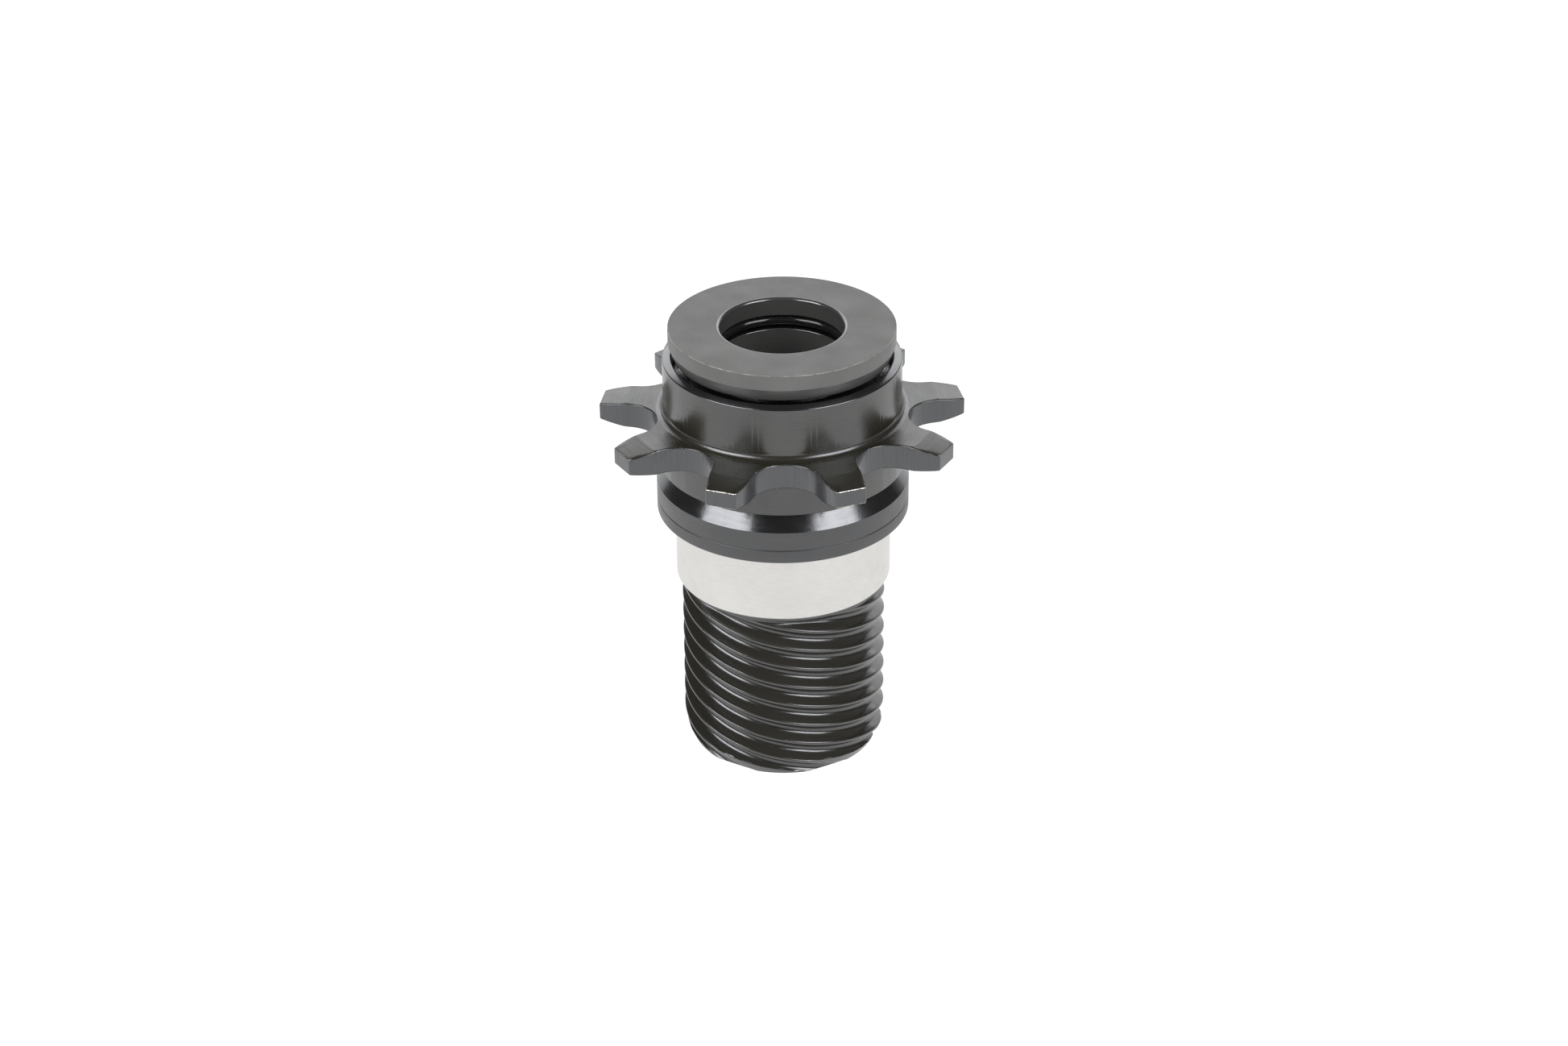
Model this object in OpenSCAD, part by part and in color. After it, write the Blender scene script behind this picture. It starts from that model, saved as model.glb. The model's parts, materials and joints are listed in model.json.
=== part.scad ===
// Hub driver of a small bicycle rear wheel. The one-piece driver carries the chain sprocket and a steep
// multi-start screw that moves the hub's clutch. It turns on two ball bearings round the axle.
// The part stands on the end of its screw, with the axle along Z. A gullet of the sprocket faces -Y.

/* [Sprocket] */
// Number of sprocket teeth
teeth = 9; // [9:1:13]
// Pitch of the chain
chain_pitch = 12.7; // [12.6:0.05:12.8]
// Radius of the seat for a chain roller
seat_r = 3.95; // [3.85:0.05:4.05]
// Height of the tooth tips above the pitch circle
tooth_rise = 2.5; // [2.2:0.05:2.7]
// Radius of the rounded flank between a roller's seat and a tip
flank_r = 10; // [8:0.5:14]
// Width of the flat on a tooth tip
tip_w = 3.5; // [2.8:0.1:3.8]
// Thickness of the sprocket plate
plate_t = 3; // [2.6:0.1:3.2]
// Thickness that the side bevels leave at the tooth tips
tip_t = 2; // [1.4:0.1:2.4]
// Length of a tooth's side bevel, measured inwards from the tip
bevel_l = 3; // [2:0.1:3.4]

/* [Driver body] */
// Diameter of the collar above the sprocket
collar_d = 27.4; // [27:0.1:27.8]
// Length of the collar above the sprocket
collar_l = 6.55; // [6.3:0.05:6.8]
// Diameter of the hub below the sprocket
hub_d = 28.4; // [28:0.1:28.6]
// Length of the hub below the sprocket
hub_l = 3.65; // [3:0.05:4]
// Diameter of the shoulder
shoulder_d = 29.2; // [28.8:0.1:29.8]
// Length of the straight part of the shoulder
shoulder_l = 2.3; // [1.6:0.1:3]
// Length of the flare between the relief groove and the shoulder
flare_l = 1.7; // [1.2:0.1:2]
// Diameter of the journal under the washer and the sleeve
journal_d = 24; // [23.95:0.05:24.2]

/* [Screw] */
// Outer diameter of the screw
screw_d = 23.8; // [23:0.1:23.9]
// Length from the end of the screw to the sleeve
screw_l = 21.8; // [20:0.1:24]
// Number of starts
starts = 6; // [4:1:6]
// Lead of the left-hand screw
lead = 15.2; // [14:0.1:18]
// Angle between a groove's flanks and the axis
groove_angle = 60; // [50:1:65]
// Radius at the bottom of a groove
groove_root_r = 0.68; // [0.5:0.02:0.8]
// Width of the land on top of a ridge, measured along the axis
land_w = 0.3; // [0.2:0.05:0.5]
// Length of the chamfer at the end of the screw
screw_chamfer_l = 2.1; // [1.5:0.1:3]
// Depth of that chamfer
screw_chamfer_depth = 0.95; // [0.6:0.05:1.2]
// Diameter of the clearance bore for the axle
clearance_d = 15.4; // [15.2:0.1:16]

/* [Washer and sleeve] */
// Thickness of the shim washer
washer_t = 1.6; // [1:0.1:2]
// Diameter of the bearing sleeve
sleeve_d = 25; // [24.8:0.1:25.4]
// Length of the bearing sleeve
sleeve_l = 8.7; // [8:0.1:9]

/* [Cone spacer] */
// Diameter of the disc
disc_d = 26; // [25:0.1:27]
// Height of the spacer above the bearing
spacer_l = 5.2; // [5:0.1:5.6]
// Length of the spacer's pilot inside the bearing
pilot_l = 4.2; // [3:0.1:4.5]
// Diameter of the axle bore
axle_bore_d = 14.1; // [14.05:0.05:14.3]
// Thickness of the O-ring
o_ring_t = 1.2; // [1:0.05:1.2]

/* [Bearings] */
// Bore of both bearings
bearing_bore_d = 15; // [15:0.01:15.04]
// Outer diameter of the upper bearing
upper_d = 24; // [23.96:0.01:24]
// Width of the upper bearing
upper_w = 5; // [4.8:0.1:5]
// Diameter of the upper balls
upper_ball_d = 2.38; // [2.3:0.01:2.4]
// Number of balls in the upper bearing
upper_balls = 14; // [10:1:15]
// Outer diameter of the lower bearing
lower_d = 21; // [20.96:0.01:21]
// Width of the lower bearing
lower_w = 4; // [3.9:0.1:4.1]
// Diameter of the lower balls
lower_ball_d = 1.59; // [1.55:0.01:1.6]
// Number of balls in the lower bearing
lower_balls = 18; // [12:1:20]

/* [Hidden] */
$fn = 96;
front_angle = -90;
overshoot = 1;

// Heights of the driver, from the end of the screw upwards
sleeve_z = screw_l;
washer_z = sleeve_z + sleeve_l;
shoulder_z = washer_z + washer_t;
flare_z = shoulder_z + shoulder_l;
relief_z = flare_z + flare_l;
relief_l = 0.4;
hub_z = relief_z + relief_l;
plate_z = hub_z + hub_l;
collar_z = plate_z + plate_t;
collar_top_z = collar_z + collar_l;

// Radii and edges of the driver
collar_r = collar_d / 2;
collar_fillet = 0.8;
collar_edge = 0.25;
hub_r = hub_d / 2;
relief_depth = 0.7;
shoulder_r = shoulder_d / 2;
journal_r = journal_d / 2;
clearance_r = clearance_d / 2;
bore_chamfer = 0.5;
arc_steps = 6;

// Sprocket
tooth_angle = 360 / teeth;
pitch_r = chain_pitch / (2 * sin(tooth_angle / 2));
tip_r = pitch_r + tooth_rise;
seat_steps = 12;
flank_steps = 4;
tip_corner = turned([tip_r, -tip_w / 2], tooth_angle / 2);
plate_bury = 1.5;

// Screw: the thread ends in a plain band just below the sleeve
plain_l = 0.4;
thread_l = screw_l - plain_l;
runout_l = 1.3;
screw_r = screw_d / 2;
start_angle = 360 / starts;
ridge_front_z = 17.65;
ridge_angle = front_angle + 360 * ridge_front_z / lead;
groove_half_w = (lead / starts - land_w) / 2;
root_half_w = groove_root_r * sin(groove_angle);
groove_flank_w = groove_half_w - root_half_w;
groove_depth = groove_root_r * (1 - cos(groove_angle)) + groove_flank_w * tan(groove_angle);
groove_side_steps = 2;
root_steps = 6;
rings = 60;

// The points across one groove and the land after it, measured along the axis from the groove's middle
groove_points = concat(
    [for (s = [0:groove_side_steps - 1]) -groove_half_w + groove_flank_w * s / groove_side_steps],
    [for (s = [0:root_steps]) groove_root_r * sin(groove_angle * (2 * s / root_steps - 1))],
    [for (s = [1:groove_side_steps]) root_half_w + groove_flank_w * s / groove_side_steps],
    [groove_half_w + land_w / 2]
);
ring_points = starts * len(groove_points);

// Bearings
bearing_bore_r = bearing_bore_d / 2;
upper_recess = 1.6;
upper_top_z = collar_top_z - upper_recess;
upper_z = upper_top_z - upper_w;
upper_pitch_r = (bearing_bore_d + upper_d) / 4;
lower_z = 26.3;
lower_top_z = lower_z + lower_w;
lower_pitch_r = (bearing_bore_d + lower_d) / 4;
lower_step_r = 9.3;
lower_step_l = 0.6;
seat_chamfer = 0.75;
race_play = 0.05;
race_share = 0.25;
seal_t = 0.4;
seal_recess = 0.12;
seal_play = 0.05;
ring_chamfer = 0.2;

// Cone spacer
disc_r = disc_d / 2;
disc_rim_l = 1.8;
disc_edge = 0.15;
taper_l = 1.5;
taper_in = 0.6;
underside_l = 1;
underside_r = 9.5;
spigot_r = 8.65;
axle_bore_r = axle_bore_d / 2;
bore_round = 0.37;
gland_z = 1.3;
gland_w = 1.7;
gland_r = 8.3;
pilot_chamfer = 0.3;

// A point turned about the origin
function turned(p, a) = [p[0] * cos(a) - p[1] * sin(a), p[0] * sin(a) + p[1] * cos(a)];

// A point mirrored about the middle of the tooth that follows the first gullet
function mirrored(p) =
    [p[0] * cos(tooth_angle) + p[1] * sin(tooth_angle), p[0] * sin(tooth_angle) - p[1] * cos(tooth_angle)];

// The centre of a tooth's flank: an arc that touches the roller's seat and ends at the tip's corner
function flank_centre() =
    let (
        seat = [pitch_r, 0],
        reach = norm(tip_corner - seat),
        from_seat = seat_r + flank_r,
        along = (reach * reach + from_seat * from_seat - flank_r * flank_r) / (2 * reach),
        across = sqrt(from_seat * from_seat - along * along),
        dir = (tip_corner - seat) / reach
    )
    seat + along * dir + across * [-dir[1], dir[0]];

// One gullet and the tooth after it: the roller's seat, a flank, and the same flank mirrored
function tooth_outline() =
    let (
        c = flank_centre(),
        seat_end = atan2(c[1], c[0] - pitch_r),
        half = 180 - seat_end,
        tip = atan2(tip_corner[1] - c[1], tip_corner[0] - c[0]),
        swing = tip + half,
        flank = [for (s = [1:flank_steps])
            let (a = swing * s / flank_steps - half)
            c + flank_r * [cos(a), sin(a)]]
    )
    concat(
        [for (s = [0:seat_steps])
            let (a = 180 + half * (1 - 2 * s / seat_steps))
            [pitch_r + seat_r * cos(a), seat_r * sin(a)]],
        flank,
        [for (s = [flank_steps - 1:-1:0]) mirrored(flank[s])]
    );

function sprocket_outline() =
    let (tooth = tooth_outline())
    [for (k = [0:teeth - 1]) for (p = tooth) turned(p, front_angle + k * tooth_angle)];

module sprocket() {
    bevel_rise = (plate_t - tip_t) / 2;
    slope = bevel_rise / bevel_l;
    intersection() {
        translate([0, 0, plate_z - overshoot])
            linear_extrude(plate_t + 2 * overshoot) polygon(sprocket_outline());
        translate([0, 0, plate_z])
            rotate_extrude() polygon([
                [0, 0],
                [tip_r - bevel_l, 0],
                [tip_r + overshoot, bevel_rise + overshoot * slope],
                [tip_r + overshoot, plate_t - bevel_rise - overshoot * slope],
                [tip_r - bevel_l, plate_t],
                [0, plate_t]
            ]);
    }
}

// Depth of the thread at a distance from the middle of a groove
function thread_depth(x) = abs(x) < root_half_w
    ? groove_depth - groove_root_r + sqrt(groove_root_r * groove_root_r - x * x)
    : max(0, (groove_half_w - abs(x)) * tan(groove_angle));

// Radius of the screw: the grooves fade out below the sleeve, and a chamfer cuts the end
function screw_radius(x, z) =
    let (
        fade = min(1, (thread_l - z) / runout_l),
        chamfered = screw_r - screw_chamfer_depth * (1 - z / screw_chamfer_l)
    )
    min(screw_r - thread_depth(x) * sin(90 * fade), chamfered);

function screw_point(i, z) =
    let (
        x = groove_points[i % len(groove_points)],
        groove = (floor(i / len(groove_points)) + 0.5) * start_angle,
        a = ridge_angle + groove + 360 * (x - z) / lead,
        r = screw_radius(x, z)
    )
    [r * cos(a), r * sin(a), z];

module screw() {
    points = [for (k = [0:rings]) for (i = [0:ring_points - 1]) screw_point(i, thread_l * k / rings)];
    sides = [
        for (k = [0:rings - 1]) for (i = [0:ring_points - 1])
            let (
                j = (i + 1) % ring_points,
                low = k * ring_points,
                high = low + ring_points
            )
            each [[low + i, high + i, high + j], [low + i, high + j, low + j]]
    ];
    end_face = [for (i = [0:ring_points - 1]) i];
    top_face = [for (i = [ring_points - 1:-1:0]) rings * ring_points + i];
    polyhedron(points, concat([end_face, top_face], sides));
}

module driver_turning() {
    fillet = [for (s = [0:arc_steps])
        let (a = 270 - 90 * s / arc_steps)
        [
            collar_r + collar_fillet + collar_fillet * cos(a),
            collar_z + collar_fillet + collar_fillet * sin(a)
        ]];
    rotate_extrude() polygon(concat(
        [
            [0, thread_l],
            [journal_r, thread_l],
            [journal_r, shoulder_z],
            [shoulder_r, shoulder_z],
            [shoulder_r, flare_z],
            [hub_r - relief_depth, relief_z],
            [hub_r - relief_depth, hub_z],
            [hub_r, hub_z],
            [hub_r, collar_z - plate_bury],
            [collar_r + collar_fillet, collar_z - plate_bury]
        ],
        fillet,
        [
            [collar_r, collar_top_z - collar_edge],
            [collar_r - collar_edge, collar_top_z],
            [0, collar_top_z]
        ]
    ));
}

module driver_bore() {
    upper_r = upper_d / 2;
    lower_r = lower_d / 2;
    rotate_extrude() polygon([
        [0, -overshoot],
        [clearance_r + bore_chamfer + overshoot, -overshoot],
        [clearance_r, bore_chamfer],
        [clearance_r, lower_z - lower_step_l],
        [lower_step_r, lower_z - lower_step_l],
        [lower_step_r, lower_z],
        [lower_r, lower_z],
        [lower_r, upper_z],
        [upper_r, upper_z],
        [upper_r, collar_top_z - seat_chamfer],
        [upper_r + seat_chamfer + overshoot, collar_top_z + overshoot],
        [0, collar_top_z + overshoot]
    ]);
}

module driver_body() {
    color("dimgray")
        difference() {
            union() {
                driver_turning();
                sprocket();
                screw();
            }
            driver_bore();
        }
}

module shim_washer() {
    edge = 0.12;
    color("#3c3d40")
        translate([0, 0, washer_z])
            rotate_extrude() polygon([
                [journal_r, 0],
                [shoulder_r - edge, 0],
                [shoulder_r, edge],
                [shoulder_r, washer_t - edge],
                [shoulder_r - edge, washer_t],
                [journal_r, washer_t]
            ]);
}

module bearing_sleeve() {
    edge = 0.25;
    sleeve_r = sleeve_d / 2;
    color("gainsboro")
        translate([0, 0, sleeve_z])
            rotate_extrude() polygon([
                [journal_r, 0],
                [sleeve_r - edge, 0],
                [sleeve_r, edge],
                [sleeve_r, sleeve_l],
                [journal_r, sleeve_l]
            ]);
}

module cone_spacer() {
    rim = [for (s = [0:arc_steps])
        let (a = 90 + 90 * s / arc_steps)
        [
            axle_bore_r + bore_round + bore_round * cos(a),
            spacer_l - bore_round + bore_round * sin(a)
        ]];
    color("#6b6c6e")
        translate([0, 0, upper_top_z])
            rotate_extrude() polygon(concat(
                [
                    [axle_bore_r + pilot_chamfer, -pilot_l],
                    [bearing_bore_r, -pilot_l],
                    [bearing_bore_r, 0],
                    [spigot_r, 0],
                    [spigot_r, spacer_l - disc_rim_l - taper_l - underside_l],
                    [underside_r, spacer_l - disc_rim_l - taper_l - underside_l],
                    [disc_r - taper_in, spacer_l - disc_rim_l - taper_l],
                    [disc_r, spacer_l - disc_rim_l],
                    [disc_r, spacer_l - disc_edge],
                    [disc_r - disc_edge, spacer_l]
                ],
                rim,
                [
                    [axle_bore_r, gland_z + gland_w],
                    [gland_r, gland_z + gland_w],
                    [gland_r, gland_z],
                    [axle_bore_r, gland_z],
                    [axle_bore_r, pilot_chamfer - pilot_l]
                ]
            ));
}

module cone_o_ring() {
    color("#141414")
        translate([0, 0, upper_top_z + gland_z + gland_w / 2])
            rotate_extrude() translate([gland_r - o_ring_t / 2, 0]) circle(d = o_ring_t, $fn = 48);
}

module spacer_tube() {
    wall = 1.1;
    color("silver")
        translate([0, 0, lower_top_z])
            difference() {
                cylinder(r = bearing_bore_r + wall, h = upper_z - lower_top_z);
                translate([0, 0, -overshoot])
                    cylinder(r = bearing_bore_r, h = upper_z - lower_top_z + 2 * overshoot);
            }
}

// How far the face between the race groove and the seals stands from the pitch circle
function land_gap(ball_d) = ball_d / 2 * (1 - race_share) + race_play;

// A bearing's outer ring: bore side with the race groove and a notch for each seal
module outer_ring(outer_r, w, pitch_r, ball_d) {
    land_r = pitch_r + land_gap(ball_d);
    notch_r = land_r + seal_t / 2;
    notch_l = seal_recess + seal_t;
    color("lightsteelblue")
        difference() {
            rotate_extrude() polygon([
                [notch_r, 0],
                [outer_r - ring_chamfer, 0],
                [outer_r, ring_chamfer],
                [outer_r, w - ring_chamfer],
                [outer_r - ring_chamfer, w],
                [notch_r, w],
                [notch_r, w - notch_l],
                [land_r, w - notch_l],
                [land_r, notch_l],
                [notch_r, notch_l]
            ]);
            race(w, pitch_r, ball_d);
        }
}

module inner_ring(w, pitch_r, ball_d) {
    land_r = pitch_r - land_gap(ball_d);
    color("lightsteelblue")
        difference() {
            rotate_extrude() polygon([
                [bearing_bore_r, 0],
                [land_r, 0],
                [land_r, w],
                [bearing_bore_r, w]
            ]);
            race(w, pitch_r, ball_d);
        }
}

module race(w, pitch_r, ball_d) {
    translate([0, 0, w / 2])
        rotate_extrude() translate([pitch_r, 0]) circle(r = ball_d / 2 + race_play, $fn = 48);
}

module seal(pitch_r, ball_d) {
    land = land_gap(ball_d);
    color("#1c1c1c")
        rotate_extrude() polygon([
            [pitch_r - land + seal_play, 0],
            [pitch_r + land + seal_t / 2, 0],
            [pitch_r + land + seal_t / 2, seal_t],
            [pitch_r - land + seal_play, seal_t]
        ]);
}

function ball_place(i, count, pitch_r) =
    let (a = front_angle + 360 * (i - 1) / count)
    [pitch_r * cos(a), pitch_r * sin(a), 0];

module ball(i, count, pitch_r, ball_d) {
    color("white") translate(ball_place(i, count, pitch_r)) sphere(d = ball_d);
}

// A crown cage: a thin base ring below the balls, with prongs that reach up between them
module cage(count, pitch_r, ball_d) {
    pocket_play = 0.04;
    side_gap = 0.2;
    base_t = 0.3;
    prong_share = 0.25;
    prong = prong_share * ball_d;
    half_w = land_gap(ball_d) - side_gap;
    color("peru")
        difference() {
            rotate_extrude() translate([pitch_r - half_w, -ball_d / 2 - pocket_play - base_t])
                square([2 * half_w, ball_d / 2 + pocket_play + base_t + prong]);
            for (i = [1:count])
                translate(ball_place(i, count, pitch_r)) sphere(d = ball_d + 2 * pocket_play);
        }
}

module upper_at(z) { translate([0, 0, upper_z + z]) children(); }
module lower_at(z) { translate([0, 0, lower_z + z]) children(); }

driver_body();
shim_washer();
bearing_sleeve();
cone_spacer();
cone_o_ring();
spacer_tube();

upper_at(0) outer_ring(upper_d / 2, upper_w, upper_pitch_r, upper_ball_d);  // upper_outer_ring
upper_at(0) inner_ring(upper_w, upper_pitch_r, upper_ball_d);  // upper_inner_ring
upper_at(upper_w / 2) cage(upper_balls, upper_pitch_r, upper_ball_d);  // upper_cage
upper_at(upper_w - seal_recess - seal_t) seal(upper_pitch_r, upper_ball_d);  // upper_seal_top
upper_at(seal_recess) seal(upper_pitch_r, upper_ball_d);  // upper_seal_bottom
for (i = [1:upper_balls])
    upper_at(upper_w / 2) ball(i, upper_balls, upper_pitch_r, upper_ball_d);

lower_at(0) outer_ring(lower_d / 2, lower_w, lower_pitch_r, lower_ball_d);  // lower_outer_ring
lower_at(0) inner_ring(lower_w, lower_pitch_r, lower_ball_d);  // lower_inner_ring
lower_at(lower_w / 2) cage(lower_balls, lower_pitch_r, lower_ball_d);  // lower_cage
lower_at(lower_w - seal_recess - seal_t) seal(lower_pitch_r, lower_ball_d);  // lower_seal_top
lower_at(seal_recess) seal(lower_pitch_r, lower_ball_d);  // lower_seal_bottom
for (i = [1:lower_balls])
    lower_at(lower_w / 2) ball(i, lower_balls, lower_pitch_r, lower_ball_d);
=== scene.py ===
"""Looks for the sprocket hub driver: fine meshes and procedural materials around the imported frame."""
import json
import math

import bpy
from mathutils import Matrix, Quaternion, Vector


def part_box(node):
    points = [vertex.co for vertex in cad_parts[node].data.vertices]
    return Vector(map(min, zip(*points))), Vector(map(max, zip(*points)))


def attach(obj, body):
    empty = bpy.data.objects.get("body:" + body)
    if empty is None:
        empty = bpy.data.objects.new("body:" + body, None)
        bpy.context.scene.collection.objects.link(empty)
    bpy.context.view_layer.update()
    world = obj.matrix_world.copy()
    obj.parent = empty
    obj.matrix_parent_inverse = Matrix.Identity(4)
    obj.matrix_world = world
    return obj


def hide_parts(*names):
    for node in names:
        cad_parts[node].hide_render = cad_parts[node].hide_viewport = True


MM = 0.001
FRONT = -math.pi / 2

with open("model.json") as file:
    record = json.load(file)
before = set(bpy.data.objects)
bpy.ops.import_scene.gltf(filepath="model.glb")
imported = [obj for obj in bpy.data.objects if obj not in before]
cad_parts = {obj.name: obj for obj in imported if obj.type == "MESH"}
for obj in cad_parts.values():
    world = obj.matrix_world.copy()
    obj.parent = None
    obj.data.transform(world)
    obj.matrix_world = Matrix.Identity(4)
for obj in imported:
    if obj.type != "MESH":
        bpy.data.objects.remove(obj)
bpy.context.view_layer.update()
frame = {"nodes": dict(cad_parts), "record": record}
nodes = frame["nodes"]
mounts = {m["name"]: m for m in frame["record"]["mounts"]}


# ---------------------------------------------------------------- sizes, in millimetres

def heights(node):
    """The node's lowest and highest point."""
    lo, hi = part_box(node)
    return lo[2] / MM, hi[2] / MM


def outer_radius(node):
    lo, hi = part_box(node)
    return (hi[0] - lo[0]) / 2 / MM


COLLAR_TOP_Z = heights("driver_body")[1]
WASHER_Z, SHOULDER_Z = heights("shim_washer")
SLEEVE_Z = heights("bearing_sleeve")[0]
SPACER_TOP_Z = heights("cone_spacer")[1]
UPPER_Z, UPPER_TOP_Z = heights("upper_outer_ring")
UPPER_R = outer_radius("upper_outer_ring")
LOWER_Z = heights("lower_outer_ring")[0]
LOWER_R = outer_radius("lower_outer_ring")
SHOULDER_R = outer_radius("shim_washer")
SLEEVE_R = outer_radius("bearing_sleeve")
DISC_R = outer_radius("cone_spacer")

SPROCKET = mounts["chain_sprocket"]
PITCH_R = SPROCKET["dims"]["r_mm"]
PLATE_T = SPROCKET["dims"]["length_mm"]
PLATE_Z = SPROCKET["pos_m"][2] / MM - PLATE_T / 2
PLATE_TOP_Z = PLATE_Z + PLATE_T
TEETH = 9
TOOTH_ANGLE = 2 * math.pi / TEETH
SEAT_R = 3.95
FLANK_R = 10.0
TIP_R = PITCH_R + 2.5
TIP_W = 3.5
BEVEL_L = 3.0
BEVEL_RISE = 0.5
TOOTH_EDGE = 0.16
TIP_WEAR = 0.66
FLANK_WEAR = 0.43

SCREW_R = mounts["clutch_screw"]["dims"]["r_mm"]
THREAD_L = mounts["clutch_screw"]["dims"]["length_mm"]
STARTS = 6
LEAD = 15.2
LAND_W = 0.3
LAND_EDGE = 0.22
GROOVE_ANGLE = math.radians(60)
GROOVE_ROOT_R = 0.68
SCREW_CHAMFER_L = 2.1
SCREW_CHAMFER_DEPTH = 0.95
RUNOUT_L = 1.3
RIDGE_FRONT_Z = 17.65
CLEARANCE_R = mounts["screw_bore"]["dims"]["r_mm"]

JOURNAL_R = 12.0
COLLAR_R = 13.7
COLLAR_FILLET = 0.8
HUB_R = 14.2
RELIEF_R = 13.5
RELIEF_L = 0.4
FLARE_L = 1.7
SHOULDER_L = 2.3
SEAT_CHAMFER = 0.75
LIP_DROP = 0.26
LOWER_STEP_R = 9.3
LOWER_STEP_L = 0.6
BORE_CHAMFER = 0.5

AXLE_R = mounts["axle_bore"]["dims"]["r_mm"]
BEARING_BORE_R = 7.5


# ---------------------------------------------------------------- outlines and rings

def rounded(corners, steps=4):
    """A line through corners (x, y, radius) with each corner rounded to its radius."""
    points = []
    last = len(corners) - 1
    for i, (x, y, radius) in enumerate(corners):
        here = Vector((x, y))
        if radius == 0 or i in (0, last):
            points.append(here)
            continue
        before = (Vector(corners[i - 1][:2]) - here).normalized()
        after = (Vector(corners[i + 1][:2]) - here).normalized()
        half = before.angle(after) / 2
        centre = here + (before + after).normalized() * (radius / math.sin(half))
        start = here + before * (radius / math.tan(half)) - centre
        end = here + after * (radius / math.tan(half)) - centre
        a0 = math.atan2(start.y, start.x)
        turn = math.atan2(end.y, end.x) - a0
        turn = (turn + math.pi) % (2 * math.pi) - math.pi
        for s in range(steps + 1):
            a = a0 + turn * s / steps
            points.append(centre + radius * Vector((math.cos(a), math.sin(a))))
    return points


def split(points, longest):
    """The same line with points added so that no stretch is longer than that."""
    out = [points[0]]
    for a, b in zip(points, points[1:]):
        pieces = max(1, math.ceil((b - a).length / longest))
        out += [a.lerp(b, s / pieces) for s in range(1, pieces + 1)]
    return out


def circle(r, z, angles):
    return [(r * math.cos(a), r * math.sin(a), z) for a in angles]


class Skin:
    """Collects rings of points and the faces between them, with a material zone and a value for rubbed-bare
    edges and painted highlights.
    """

    def __init__(self):
        self.points = []
        self.faces = []
        self.zones = []
        self.wear_and_highlight = []

    def ring(self, points, wear_and_highlight=0.0):
        first = len(self.points)
        self.points += points
        self.wear_and_highlight += [wear_and_highlight] * len(points)
        return range(first, len(self.points))

    def band(self, low, high, zone):
        """Quads between two rings of the same count."""
        n = len(low)
        for i in range(n):
            j = (i + 1) % n
            self.faces.append((low[i], low[j], high[j], high[i]))
            self.zones.append(zone)

    def zip(self, low, high, zone):
        """Triangles between two flat rings of any count, both running the same way round."""
        def angle(v):
            x, y, _ = self.points[v]
            return math.atan2(y, x) % (2 * math.pi)

        def from_zero(ring):
            start = min(range(len(ring)), key=lambda k: angle(ring[k]))
            turned = [ring[(start + k) % len(ring)] for k in range(len(ring))]
            return [(angle(v), v) for v in turned] + [(angle(turned[0]) + 2 * math.pi, turned[0])]

        a, b = from_zero(low), from_zero(high)
        i = j = 0
        while i < len(a) - 1 or j < len(b) - 1:
            if j == len(b) - 1 or (i < len(a) - 1 and a[i + 1][0] <= b[j + 1][0]):
                self.faces.append((a[i][1], a[i + 1][1], b[j][1]))
                i += 1
            else:
                self.faces.append((a[i][1], b[j + 1][1], b[j][1]))
                j += 1
            self.zones.append(zone)

    def build(self, name, materials):
        mesh = bpy.data.meshes.new(name)
        mesh.from_pydata([(x * MM, y * MM, z * MM) for x, y, z in self.points], [], self.faces)
        for material in materials:
            mesh.materials.append(material)
        mesh.polygons.foreach_set("material_index", self.zones)
        layer = mesh.attributes.new("wear_and_highlight", "FLOAT", "POINT")
        layer.data.foreach_set("value", self.wear_and_highlight)
        mesh.validate()
        mesh.shade_smooth()
        mesh.set_sharp_from_angle(angle=math.radians(35))
        obj = bpy.data.objects.new(name, mesh)
        bpy.context.scene.collection.objects.link(obj)
        normals = obj.modifiers.new("normals", "WEIGHTED_NORMAL")
        normals.keep_sharp = True
        return obj


def turned(name, corners, materials, count=288, steps=5):
    """A closed ring turned round the axle from corners (r, z, radius, zone, rubbed-bare edge and painted
    highlight).
    """
    skin = Skin()
    angles = [2 * math.pi * i / count for i in range(count)]
    n = len(corners)
    rings = []
    zones = []
    for i, (r, z, radius, zone, wear_and_highlight) in enumerate(corners):
        around = [corners[i - 1][:2] + (0,), (r, z, radius), corners[(i + 1) % n][:2] + (0,)]
        arc = rounded(around, steps)[1:-1]
        for k, point in enumerate(arc):
            inner = 0 < k < len(arc) - 1
            rings.append(skin.ring(circle(point.x, point.y, angles), wear_and_highlight if inner else 0.0))
            zones.append(zone)
    for k, low in enumerate(rings):
        skin.band(low, rings[(k + 1) % len(rings)], zones[k])
    return skin.build(name, materials)


# ---------------------------------------------------------------- materials

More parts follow.
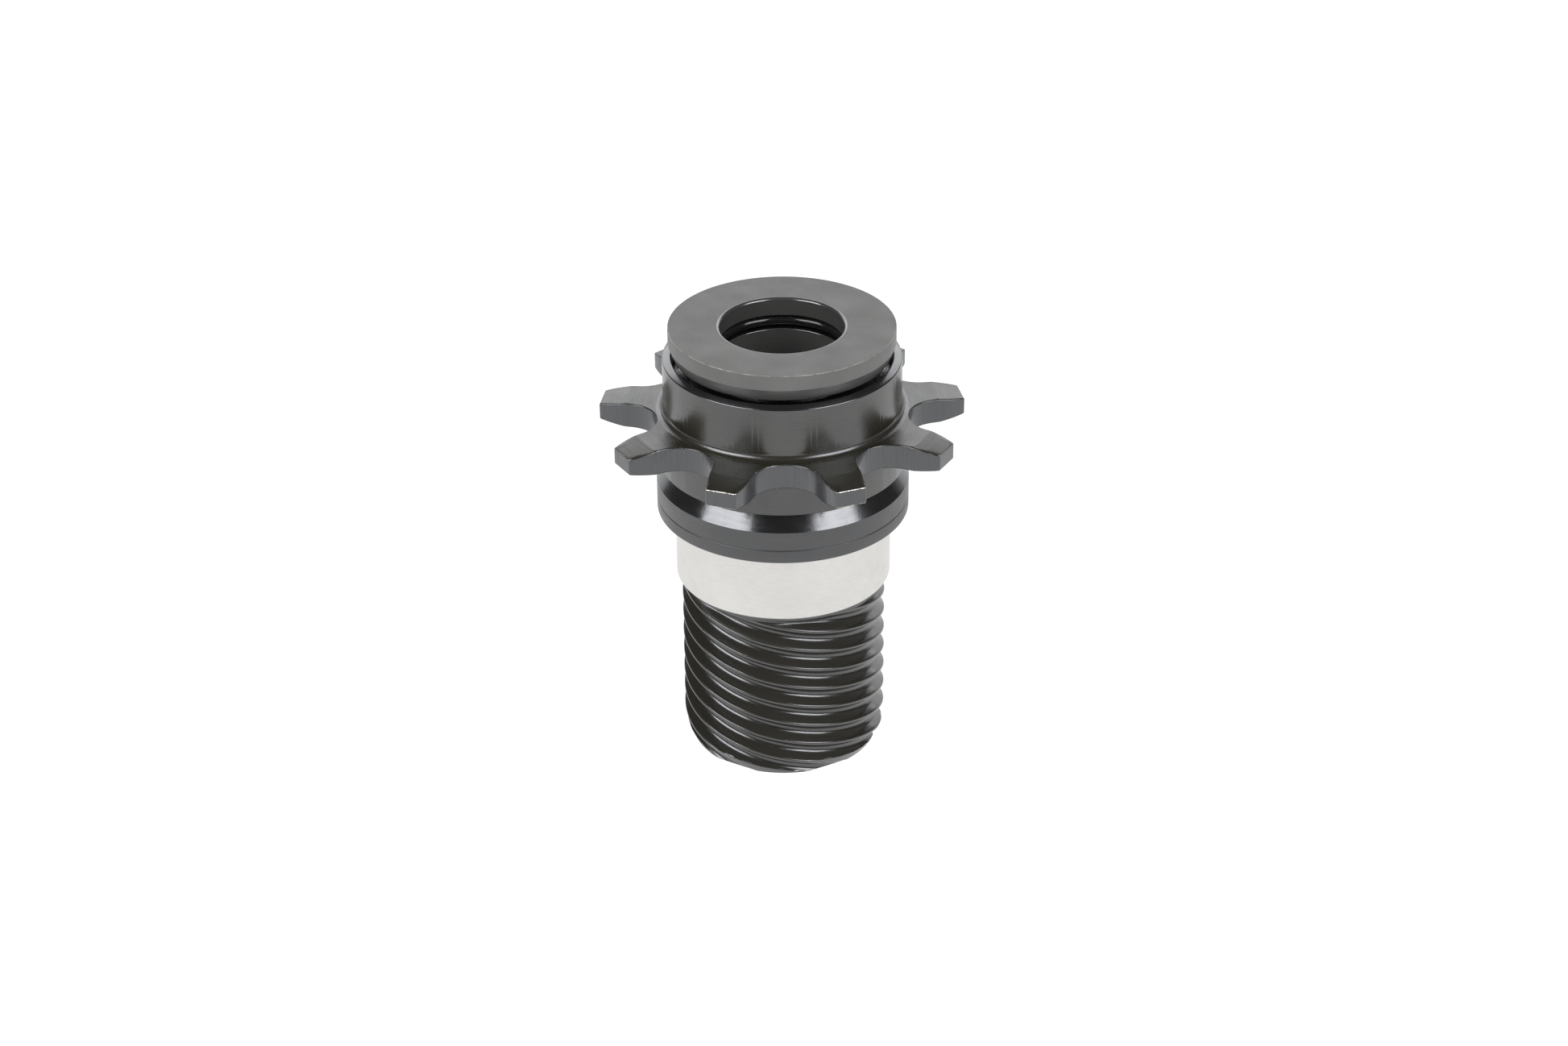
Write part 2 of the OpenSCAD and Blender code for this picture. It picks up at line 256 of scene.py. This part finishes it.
class Nodes:
    """Short calls for building one material's nodes."""

    def __init__(self, name):
        self.material = bpy.data.materials.new(name)
        self.material.use_nodes = True
        self.tree = self.material.node_tree
        self.shader = self.tree.nodes["Principled BSDF"]

    def add(self, kind, **values):
        node = self.tree.nodes.new(kind)
        for key, value in values.items():
            setattr(node, key, value)
        return node

    def link(self, output, target):
        self.tree.links.new(output, target)

    def put(self, target, value):
        if isinstance(value, bpy.types.NodeSocket):
            self.link(value, target)
        else:
            target.default_value = value

    def math(self, operation, *values, clamp=False):
        node = self.add("ShaderNodeMath", operation=operation, use_clamp=clamp)
        for socket, value in zip(node.inputs, values):
            self.put(socket, value)
        return node.outputs[0]

    def vector(self, *values):
        node = self.add("ShaderNodeCombineXYZ")
        for socket, value in zip(node.inputs, values):
            self.put(socket, value)
        return node.outputs[0]

    def noise(self, vector, scale, detail=3.0, roughness=0.55):
        node = self.add("ShaderNodeTexNoise")
        self.link(vector, node.inputs["Vector"])
        node.inputs["Scale"].default_value = scale
        node.inputs["Detail"].default_value = detail
        node.inputs["Roughness"].default_value = roughness
        return node.outputs["Fac"]

    def remap(self, value, low, high, to_low=0.0, to_high=1.0):
        node = self.add("ShaderNodeMapRange")
        self.put(node.inputs["Value"], value)
        for name, number in (("From Min", low), ("From Max", high), ("To Min", to_low), ("To Max", to_high)):
            node.inputs[name].default_value = number
        return node.outputs["Result"]

    def blend(self, factor, first, second):
        node = self.add("ShaderNodeMix", data_type="RGBA")
        self.put(node.inputs["Factor"], factor)
        self.put(node.inputs["A"], first)
        self.put(node.inputs["B"], second)
        return node.outputs["Result"]

    def bump(self, height, strength, distance, normal=None):
        node = self.add("ShaderNodeBump")
        node.inputs["Strength"].default_value = strength
        node.inputs["Distance"].default_value = distance
        self.link(height, node.inputs["Height"])
        if normal is not None:
            self.link(normal, node.inputs["Normal"])
        return node.outputs["Normal"]

    def object_coords(self):
        return self.add("ShaderNodeTexCoord").outputs["Object"]

    def turning_lines(self, coords, scale, stretch):
        """Noise drawn out round the axle, as a lathe leaves it. A smaller stretch makes longer lines."""
        parts = self.add("ShaderNodeSeparateXYZ")
        self.link(coords, parts.inputs[0])
        x, y, z = parts.outputs
        radius = self.math("SQRT", self.math("ADD", self.math("MULTIPLY", x, x), self.math("MULTIPLY", y, y)))
        angle = self.math("ARCTAN2", y, x)
        around = self.math("MULTIPLY", self.math("COSINE", angle), stretch)
        sideways = self.math("MULTIPLY", self.math("SINE", angle), stretch)
        across = self.math("ADD", radius, z)
        return self.noise(self.vector(around, sideways, across), scale, 4.0, 0.6)


def rgb(r, g, b):
    return (r, g, b, 1.0)


def shades(colour, spread):
    """A darker and a lighter version of a colour."""
    return rgb(*[(1 - spread) * c for c in colour]), rgb(*[(1 + spread) * c for c in colour])


# Bare steel where the oxide is rubbed off; the same colour paints highlights on the disc's top edge and the
# screw ridges' upper edges.
BARE_STEEL_AND_HIGHLIGHT = rgb(0.72, 0.67, 0.62)
OXIDE_TINT = rgb(0.93, 0.95, 1.0)
MARK_DEPTH = 0.00002
GRAIN_DEPTH = 0.00003


def worn_and_highlit_edges(m, coords, scale, soft):
    """How far the finish gives way to bare-steel colour, on rubbed edges and for painted highlights: solid
    where the meshes mark 1, and patchier the less it is.
    """
    spots = m.noise(coords, scale, 4.0, 0.65)
    layer = m.add("ShaderNodeAttribute", attribute_name="wear_and_highlight").outputs["Fac"]
    onset = 1.02
    return m.remap(m.math("ADD", layer, spots), onset, onset + soft)


def coat(m, tone, worn_and_highlit, colour, spread, rough):
    """The finish's colour and roughness, and bare-steel colour where the finish is rubbed off and where a
    highlight is painted.
    """
    dark, light = shades(colour, spread)
    m.link(m.blend(worn_and_highlit, m.blend(tone, dark, light), BARE_STEEL_AND_HIGHLIGHT), m.shader.inputs["Base Color"])
    m.link(m.remap(tone, 0, 1, rough + 0.05, rough - 0.05), m.shader.inputs["Roughness"])
    m.link(worn_and_highlit, m.shader.inputs["Metallic"])


def black_steel(name, colour, rough, ior, lines=9000, line_bump=0.2, grain=0.0, spread=0.3):
    """Black-oxide steel: turning lines, brownish and dark patches, edges rubbed down to bare metal, and
    painted highlights in the same bare-steel colour.
    """
    m = Nodes(name)
    coords = m.object_coords()
    turning = m.turning_lines(coords, lines, 0.0006)
    patches = m.noise(coords, 170, 3.0, 0.6)
    mixed = m.math("ADD", m.math("MULTIPLY", turning, 0.5), m.math("MULTIPLY", patches, 0.5))
    tone = m.remap(mixed, 0.38, 0.62)
    coat(m, tone, worn_and_highlit_edges(m, coords, 1400, 0.2), colour, spread, rough)
    m.shader.inputs["IOR"].default_value = ior
    m.shader.inputs["Specular Tint"].default_value = OXIDE_TINT
    normal = m.bump(turning, line_bump, MARK_DEPTH)
    if grain:
        normal = m.bump(m.noise(coords, 6000, 2.0), grain, GRAIN_DEPTH, normal)
    m.link(normal, m.shader.inputs["Normal"])
    return m.material


def milled_steel(name, colour, rough, ior):
    """Tooth flanks: fine marks that run straight down the cut face."""
    m = Nodes(name)
    coords = m.object_coords()
    stretch = m.add("ShaderNodeMapping")
    m.link(coords, stretch.inputs["Vector"])
    stretch.inputs["Scale"].default_value = (1.0, 1.0, 0.04)
    marks = m.noise(stretch.outputs[0], 4200, 2.0, 0.5)
    tone = m.remap(marks, 0.35, 0.65)
    coat(m, tone, worn_and_highlit_edges(m, coords, 1500, 0.25), colour, 0.15, rough)
    m.shader.inputs["IOR"].default_value = ior
    m.shader.inputs["Specular Tint"].default_value = OXIDE_TINT
    m.link(m.bump(marks, 0.05, MARK_DEPTH), m.shader.inputs["Normal"])
    return m.material


def ground_steel(name):
    """Bright ground steel with a fine grain round the axle."""
    m = Nodes(name)
    coords = m.object_coords()
    lines = m.turning_lines(coords, 14000, 0.0008)
    cloud = m.noise(coords, 220, 2.0)
    tone = m.remap(m.math("ADD", m.math("MULTIPLY", lines, 0.7), m.math("MULTIPLY", cloud, 0.3)), 0.38, 0.62)
    dark, light = shades((0.66, 0.65, 0.63), 0.045)
    m.link(m.blend(tone, dark, light), m.shader.inputs["Base Color"])
    m.link(m.remap(tone, 0, 1, 0.42, 0.34), m.shader.inputs["Roughness"])
    m.shader.inputs["Metallic"].default_value = 1.0
    m.link(m.bump(lines, 0.12, MARK_DEPTH), m.shader.inputs["Normal"])
    return m.material


def matte_grey(name, colour, rough):
    """Blasted and phosphated steel: even, with a very fine grain."""
    m = Nodes(name)
    coords = m.object_coords()
    grain = m.noise(coords, 9000, 2.0, 0.6)
    cloud = m.noise(coords, 260, 3.0)
    tone = m.remap(m.math("ADD", m.math("MULTIPLY", grain, 0.5), m.math("MULTIPLY", cloud, 0.5)), 0.35, 0.65)
    coat(m, tone, worn_and_highlit_edges(m, coords, 900, 0.5), colour, 0.12, rough)
    m.shader.inputs["IOR"].default_value = 1.6
    m.link(m.bump(grain, 0.2, MARK_DEPTH), m.shader.inputs["Normal"])
    return m.material


def black_rubber(name, rough):
    m = Nodes(name)
    coords = m.object_coords()
    grain = m.noise(coords, 3500, 3.0)
    m.link(m.blend(m.remap(grain, 0.35, 0.65), rgb(0.008, 0.008, 0.009), rgb(0.018, 0.018, 0.018)),
           m.shader.inputs["Base Color"])
    m.link(m.remap(grain, 0.3, 0.7, rough + 0.06, rough - 0.04), m.shader.inputs["Roughness"])
    m.link(m.bump(grain, 0.1, MARK_DEPTH), m.shader.inputs["Normal"])
    return m.material


def polished_steel(name, colour, rough):
    m = Nodes(name)
    coords = m.object_coords()
    lines = m.turning_lines(coords, 14000, 0.001)
    dark, light = shades(colour, 0.09)
    m.link(m.blend(m.remap(lines, 0.35, 0.65), dark, light), m.shader.inputs["Base Color"])
    m.link(m.remap(lines, 0.3, 0.7, rough + 0.05, rough - 0.05), m.shader.inputs["Roughness"])
    m.shader.inputs["Metallic"].default_value = 1.0
    return m.material


def cage_polymer(name):
    m = Nodes(name)
    coords = m.object_coords()
    grain = m.noise(coords, 2500, 3.0)
    m.link(m.blend(grain, rgb(0.22, 0.14, 0.08), rgb(0.34, 0.23, 0.13)), m.shader.inputs["Base Color"])
    m.link(m.remap(grain, 0.3, 0.7, 0.6, 0.5), m.shader.inputs["Roughness"])
    m.link(m.bump(grain, 0.2, GRAIN_DEPTH), m.shader.inputs["Normal"])
    return m.material


TURNED = black_steel("black_turned", (0.022, 0.020, 0.013), 0.25, 1.87)
FACE = black_steel("black_face", (0.024, 0.022, 0.015), 0.27, 1.66)
BAND = black_steel("black_polished", (0.010, 0.010, 0.010), 0.19, 2.05, line_bump=0.1, grain=0.12)
SATIN = black_steel("black_satin", (0.024, 0.023, 0.021), 0.42, 1.85, line_bump=0.08, grain=0.3, spread=0.15)
SCREW = black_steel("black_screw", (0.022, 0.020, 0.014), 0.22, 1.9, line_bump=0.04, spread=0.15)
FLANK = milled_steel("black_milled", (0.024, 0.024, 0.025), 0.25, 1.9)
BRIGHT = ground_steel("bright_ground")
SPACER = matte_grey("spacer_matte", (0.118, 0.117, 0.115), 0.50)
# A glossier cut finish with painted shade: its colour is darker than the disc's, for the shade in the bore
# and under the disc.
SPACER_CUT_SHADED = black_steel("spacer_cut_shaded", (0.070, 0.068, 0.066), 0.33, 1.6, line_bump=0.08, spread=0.12)
SPACER_RIM = black_steel("spacer_rim", (0.058, 0.056, 0.054), 0.16, 2.0, line_bump=0.04, spread=0.12)
O_RING = black_rubber("o_ring_rubber", 0.12)
SEAL = black_rubber("seal_rubber", 0.45)
RACE = polished_steel("bearing_steel", (0.55, 0.55, 0.56), 0.22)
TUBE = polished_steel("tube_aluminium", (0.62, 0.62, 0.64), 0.38)
CAGE = cage_polymer("cage_polymer")


# ---------------------------------------------------------------- the driver

def swung(p, a):
    """A point turned about the axle."""
    return Vector((p.x * math.cos(a) - p.y * math.sin(a), p.x * math.sin(a) + p.y * math.cos(a)))


def arc(centre, radius, start, end, steps):
    return [centre + radius * Vector((math.cos(a), math.sin(a)))
            for a in (start + (end - start) * s / steps for s in range(steps + 1))]


def tooth_outline():
    """One gullet and the tooth after it: a roller's seat, then two rounded flanks with the tip between."""
    seat = Vector((PITCH_R, 0))
    corner = swung(Vector((TIP_R, -TIP_W / 2)), TOOTH_ANGLE / 2)
    reach = corner - seat
    from_seat = SEAT_R + FLANK_R
    along = (reach.length_squared + from_seat ** 2 - FLANK_R ** 2) / (2 * reach.length)
    across = math.sqrt(from_seat ** 2 - along ** 2)
    ahead = reach.normalized()
    centre = seat + along * ahead + across * Vector((-ahead.y, ahead.x))
    seat_end = math.atan2(centre.y, centre.x - seat.x)
    seat_points = arc(seat, SEAT_R, 2 * math.pi - seat_end, seat_end, 20)
    tip = math.atan2(corner.y - centre.y, corner.x - centre.x)
    flank = arc(centre, FLANK_R, seat_end - math.pi, tip, 6)[1:]

    def mirrored(p):
        c, s = math.cos(TOOTH_ANGLE), math.sin(TOOTH_ANGLE)
        return Vector((p.x * c + p.y * s, p.x * s - p.y * c))

    back = [mirrored(p) for p in reversed(flank)]
    tip_round = 0.18
    tooth = rounded([(*flank[-2], 0), (*flank[-1], tip_round), (*back[0], tip_round), (*back[1], 0)], 4)
    return seat_points + flank[:-2] + split(tooth, 0.7) + back[2:]


def sprocket_outline():
    one = tooth_outline()
    points = []
    for k in range(TEETH):
        a = FRONT + k * TOOTH_ANGLE
        points += [swung(p, a) for p in one]
    return points


def inset(points, distance):
    out = []
    n = len(points)
    for i, p in enumerate(points):
        along = (points[(i + 1) % n] - points[i - 1]).normalized()
        out.append(p + Vector((-along.y, along.x)) * distance)
    return out


def plate_height(r, sign):
    """Height of the plate's top (sign 1) or bottom (sign -1) face, with the teeth's side bevel."""
    rise = max(0.0, r - (TIP_R - BEVEL_L)) * BEVEL_RISE / BEVEL_L
    return (PLATE_TOP_Z - rise) if sign > 0 else (PLATE_Z + rise)


def plate_side(skin, outline, sign, inner_r):
    """Rings of one face of the plate, from the root outwards to the teeth's outline."""
    rim = inset(outline, TOOTH_EDGE)
    rings = []
    crease = TIP_R - BEVEL_L
    tip_zone = 0.3
    gullet_share = 0.85

    def ring_at(radius):
        """A ring whose point below each point of the rim is radius(crease there, rim there) from the axle."""
        ring = []
        for p in rim:
            bend = min(crease, inner_r + (p.length - inner_r) * gullet_share)
            r = radius(bend, p.length)
            q = p.normalized() * r
            ring.append((q.x, q.y, plate_height(r, sign)))
        rings.append(skin.ring(ring))

    for share in (0.35, 0.7, 0.97, 1.0):
        ring_at(lambda bend, _: inner_r + (bend - inner_r) * share)
    for share in (0.04, 0.5):
        ring_at(lambda bend, edge: bend + (edge - bend) * share)
    steps = 3
    for s in range(steps + 1):
        a = math.pi / 2 * s / steps
        offset = inset(outline, TOOTH_EDGE * (1 - math.sin(a)))
        drop = TOOTH_EDGE * (1 - math.cos(a))
        ring = [(q.x, q.y, plate_height(q.length, sign) - sign * drop) for q in offset]
        rings.append(skin.ring(ring))
        if 0 < s < steps:
            skin.wear_and_highlight[-len(ring):] = [TIP_WEAR if p.length > TIP_R - tip_zone else FLANK_WEAR
                                      for p in outline]
    return rings


def groove_profile():
    """One start of the screw: pairs of angle and depth, from the middle of a land to the next."""
    pitch = LEAD / STARTS
    half = (pitch - LAND_W) / 2
    corners = [(-pitch / 2, 0, 0), (-half, 0, LAND_EDGE), (0, -half * math.tan(GROOVE_ANGLE), GROOVE_ROOT_R),
               (half, 0, LAND_EDGE), (pitch / 2, 0, 0)]
    line = split(rounded(corners, 7), 0.2)[:-1]
    return [(p.x / LEAD * 2 * math.pi, -p.y) for p in line]


def screw_rings(skin):
    profile = groove_profile()
    ridge = FRONT + 2 * math.pi * RIDGE_FRONT_Z / LEAD
    start_angle = 2 * math.pi / STARTS
    highlight_depth = 0.06
    ridge_highlight = 0.42
    count = 170
    rings = []
    for k in range(count + 1):
        z = THREAD_L * k / count
        fade = math.sin(math.pi / 2 * min(1.0, (THREAD_L - z) / RUNOUT_L))
        limit = SCREW_R - SCREW_CHAMFER_DEPTH * max(0.0, 1 - z / SCREW_CHAMFER_L)
        ring = []
        wear_and_highlight = []
        for start in range(STARTS):
            for turn, depth in profile:
                a = ridge - 2 * math.pi * z / LEAD + (start + 0.5) * start_angle + turn
                r = min(SCREW_R - depth * fade, limit)
                ring.append((r * math.cos(a), r * math.sin(a), z))
                # Painted highlight: bare-steel colour along each ridge's upper edge only.
                near = max(0.0, 1 - abs(depth - highlight_depth) / highlight_depth)
                wear_and_highlight.append(ridge_highlight * near if turn < 0 else 0.0)
        rings.append(skin.ring(ring))
        skin.wear_and_highlight[-len(wear_and_highlight):] = wear_and_highlight
    return rings


def driver():
    skin = Skin()
    outline = sprocket_outline()
    angles = [math.atan2(p.y, p.x) for p in outline]
    turned_zone, face_zone, band_zone, satin_zone, screw_zone, flank_zone = range(6)

    def lathe(corners, zone, wear_and_highlight=0.0):
        """Rings along corners (r, z, radius), without the two ends. The rubbed-edge and painted-highlight
        value stays inside the rounded edge.
        """
        line = rounded(corners, 5)[1:-1]
        last = len(line) - 1
        return [(skin.ring(circle(p.x, p.y, angles), wear_and_highlight if 0 < k < last else 0.0), zone)
                for k, p in enumerate(line)]

    relief_z = SHOULDER_Z + SHOULDER_L + FLARE_L
    hub_z = relief_z + RELIEF_L
    flare_top = (RELIEF_R, relief_z)
    path = [(skin.ring(circle(JOURNAL_R, THREAD_L, angles)), screw_zone),
            (skin.ring(circle(JOURNAL_R, SHOULDER_Z, angles)), satin_zone)]
    path += lathe([(JOURNAL_R, SHOULDER_Z, 0), (SHOULDER_R, SHOULDER_Z, 0.1),
                   (SHOULDER_R, SHOULDER_Z + SHOULDER_L, 0)], satin_zone)
    path += lathe([(SHOULDER_R, SHOULDER_Z, 0), (SHOULDER_R, SHOULDER_Z + SHOULDER_L, 0.08),
                   (*flare_top, 0)], band_zone)
    path += lathe([(SHOULDER_R, SHOULDER_Z + SHOULDER_L, 0), (*flare_top, 0.1),
                   (RELIEF_R, hub_z, 0)], band_zone)
    path += lathe([(*flare_top, 0), (RELIEF_R, hub_z, 0.1), (HUB_R, hub_z, 0)], turned_zone)
    path += lathe([(RELIEF_R, hub_z, 0), (HUB_R, hub_z, 0.12), (HUB_R, PLATE_Z, 0)], turned_zone)
    path += lathe([(HUB_R, hub_z, 0), (HUB_R, PLATE_Z, 0.25), (HUB_R + 1, PLATE_Z, 0)], face_zone)
    under = plate_side(skin, outline, -1, HUB_R + 0.3)
    path += [(ring, face_zone) for ring in under[:-1]] + [(under[-1], flank_zone)]
    over = plate_side(skin, outline, 1, COLLAR_R + COLLAR_FILLET)
    over.reverse()
    path += [(ring, flank_zone if i < 2 else face_zone) for i, ring in enumerate(over)]
    path += lathe([(COLLAR_R + 2, PLATE_TOP_Z, 0), (COLLAR_R, PLATE_TOP_Z, COLLAR_FILLET),
                   (COLLAR_R, COLLAR_TOP_Z, 0)], turned_zone)
    lip_low = (COLLAR_R, COLLAR_TOP_Z - LIP_DROP)
    lip_high = (UPPER_R + SEAT_CHAMFER, COLLAR_TOP_Z)
    seat_end = (UPPER_R, COLLAR_TOP_Z - SEAT_CHAMFER)
    path += lathe([(COLLAR_R, PLATE_TOP_Z, 0), (*lip_low, 0.2), (*lip_high, 0)], band_zone)
    path += lathe([(*lip_low, 0), (*lip_high, 0.2), (*seat_end, 0)], band_zone)
    path += lathe([(*lip_high, 0), (*seat_end, 0.1), (UPPER_R, UPPER_Z, 0)], turned_zone)
    bore = [(UPPER_R, UPPER_Z), (LOWER_R, UPPER_Z), (LOWER_R, LOWER_Z), (LOWER_STEP_R, LOWER_Z),
            (LOWER_STEP_R, LOWER_Z - LOWER_STEP_L), (CLEARANCE_R, LOWER_Z - LOWER_STEP_L),
            (CLEARANCE_R, BORE_CHAMFER), (CLEARANCE_R + BORE_CHAMFER, 0)]
    path += [(skin.ring(circle(r, z, angles)), turned_zone) for r, z in bore]
    for (low, zone), (high, _) in zip(path, path[1:]):
        skin.band(low, high, zone)

    rings = screw_rings(skin)
    for low, high in zip(rings, rings[1:]):
        skin.band(low, high, screw_zone)
    skin.zip(path[-1][0], rings[0], screw_zone)
    skin.zip(rings[-1], path[0][0], screw_zone)

    piece = skin.build("driver", [TURNED, FACE, BAND, SATIN, SCREW, FLANK])
    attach(piece, "driver")
    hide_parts("driver_body")


driver()


# ---------------------------------------------------------------- turned pieces

def replace(piece, node, body):
    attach(piece, body)
    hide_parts(node)


def washer():
    edge = 0.15
    corners = [(JOURNAL_R, WASHER_Z, 0.05, 0, 0), (SHOULDER_R, WASHER_Z, edge, 0, 0),
               (SHOULDER_R, SHOULDER_Z, edge, 0, 0), (JOURNAL_R, SHOULDER_Z, 0.05, 0, 0)]
    replace(turned("washer", corners, [SATIN]), "shim_washer", "driver")


def sleeve():
    chamfer = 0.25
    corners = [(JOURNAL_R, SLEEVE_Z, 0.05, 0, 0), (SLEEVE_R - chamfer, SLEEVE_Z, 0.08, 0, 0),
               (SLEEVE_R, SLEEVE_Z + chamfer, 0.1, 0, 0), (SLEEVE_R, WASHER_Z, 0.08, 0, 0),
               (JOURNAL_R, WASHER_Z, 0.05, 0, 0)]
    replace(turned("sleeve", corners, [BRIGHT]), "bearing_sleeve", "driver")


def spacer():
    """The disc with its taper, the pilot in the bearing, and the O-ring's gland in the bore."""
    # The pilot, the underside, the taper and the bore walls take the darker cut material: painted shade on a
    # glossier cut finish.
    matte, glossy, cut_shaded, rim = range(4)
    rim_z = SPACER_TOP_Z - 1.8
    taper_z = rim_z - 1.5
    under_z = taper_z - 1.0
    pilot_z = UPPER_TOP_Z - 4.2
    gland_z = UPPER_TOP_Z + 1.3
    gland_top_z = gland_z + 1.7
    gland_r = 8.3
    spigot_r = 8.65
    underside_r = 9.5
    corners = [
        (AXLE_R + 0.3, pilot_z, 0, cut_shaded, 0),
        (BEARING_BORE_R, pilot_z, 0.1, cut_shaded, 0),
        (BEARING_BORE_R, UPPER_TOP_Z, 0, matte, 0),
        (spigot_r, UPPER_TOP_Z, 0.1, matte, 0),
        (spigot_r, under_z, 0.15, matte, 0),
        (underside_r, under_z, 0.15, cut_shaded, 0),
        (DISC_R - 0.6, taper_z, 0.3, cut_shaded, 0),
        (DISC_R, rim_z, 0.08, matte, 0),
        # Painted highlight: a thin bare-steel light line on the disc's top outer edge.
        (DISC_R, SPACER_TOP_Z, 0.1, matte, 0.68),
        (AXLE_R, SPACER_TOP_Z, 0.37, rim, 0),
        (AXLE_R, SPACER_TOP_Z - 0.45, 0, cut_shaded, 0),
        (AXLE_R, gland_top_z, 0.12, glossy, 0),
        (gland_r, gland_top_z, 0.1, glossy, 0),
        (gland_r, gland_z, 0.1, glossy, 0),
        (AXLE_R, gland_z, 0.12, rim, 0),
        (AXLE_R, gland_z - 0.2, 0, cut_shaded, 0),
        (AXLE_R, pilot_z + 0.3, 0, cut_shaded, 0),
    ]
    piece = turned("spacer", corners, [SPACER, BAND, SPACER_CUT_SHADED, SPACER_RIM])
    replace(piece, "cone_spacer", "axle_set")


washer()
sleeve()
spacer()

for node, material in {"cone_o_ring": O_RING, "spacer_tube": TUBE}.items():
    nodes[node].data.materials.clear()
    nodes[node].data.materials.append(material)
kinds = {"_ring": RACE, "_ball_": RACE, "_cage": CAGE, "_seal_": SEAL}
for name, obj in nodes.items():
    for part, material in kinds.items():
        if name.startswith(("upper", "lower")) and part in name:
            obj.data.materials.clear()
            obj.data.materials.append(material)


# ---------------------------------------------------------------- stage, lights, camera

def floor():
    """A white light table: bright from below, without shadows."""
    size = 6.0
    mesh = bpy.data.meshes.new("floor")
    corners = [(-size, -size, 0), (size, -size, 0), (size, size, 0), (-size, size, 0)]
    mesh.from_pydata(corners, [], [(0, 1, 2, 3)])
    m = Nodes("floor_white")
    m.shader.inputs["Base Color"].default_value = rgb(0.12, 0.12, 0.12)
    m.shader.inputs["Roughness"].default_value = 0.9
    m.shader.inputs["Emission Color"].default_value = rgb(1, 1, 1)
    m.shader.inputs["Emission Strength"].default_value = 1.0
    mesh.materials.append(m.material)
    obj = bpy.data.objects.new("floor", mesh)
    bpy.context.scene.collection.objects.link(obj)


def softbox(name, azimuth, elevation, distance, width, height, power):
    """A rectangular light aimed at the part. Azimuth 0 is the camera's side, and it grows to the right."""
    a, e = math.radians(azimuth), math.radians(elevation)
    away = Vector((math.sin(a) * math.cos(e), -math.cos(a) * math.cos(e), math.sin(e)))
    light = bpy.data.lights.new(name, "AREA")
    light.shape = "RECTANGLE"
    light.size = width
    light.size_y = height
    light.energy = power
    obj = bpy.data.objects.new(name, light)
    obj.location = Vector((0, 0, 0.03)) + away * distance
    obj.rotation_euler = (-away).to_track_quat("-Z", "Y").to_euler()
    bpy.context.scene.collection.objects.link(obj)


def sky():
    """A dim room as light, and a white backdrop where the background itself is seen."""
    room, backdrop = 0.06, 1.0
    world = bpy.data.worlds.new("studio")
    bpy.context.scene.world = world
    world.use_nodes = True
    tree = world.node_tree
    background = tree.nodes["Background"]
    background.inputs["Color"].default_value = rgb(1, 1, 1)
    path = tree.nodes.new("ShaderNodeLightPath")
    strength = tree.nodes.new("ShaderNodeMapRange")
    strength.inputs["To Min"].default_value = room
    strength.inputs["To Max"].default_value = backdrop
    tree.links.new(path.outputs["Is Camera Ray"], strength.inputs["Value"])
    tree.links.new(strength.outputs["Result"], background.inputs["Strength"])


def camera():
    elevation = math.radians(29.09)
    azimuth = math.radians(-1.0)
    distance = 0.40504
    roll = math.radians(-0.353)
    target = Vector((0.0001, 0, 0.02763))
    away = Vector((math.sin(azimuth) * math.cos(elevation), -math.cos(azimuth) * math.cos(elevation),
                   math.sin(elevation)))
    data = bpy.data.cameras.new("camera")
    data.lens = 79.61
    data.sensor_width = 36
    obj = bpy.data.objects.new("camera", data)
    obj.location = target + away * distance
    obj.rotation_mode = "QUATERNION"
    obj.rotation_quaternion = (-away).to_track_quat("-Z", "Y") @ Quaternion((0, 0, 1), roll)
    bpy.context.scene.collection.objects.link(obj)
    bpy.context.scene.camera = obj


floor()
sky()
softbox("box_right", 50.5, 36, 0.9, 0.58, 0.45, 4.9)
softbox("box_left", -56, 36, 0.9, 0.64, 0.45, 5.4)
softbox("box_back", 180, 27, 1.2, 1.6, 0.55, 6.2)
softbox("sweep_back", 180, 6, 1.25, 3.0, 0.26, 2.6)
camera()
bpy.context.scene.view_settings.view_transform = "Standard"
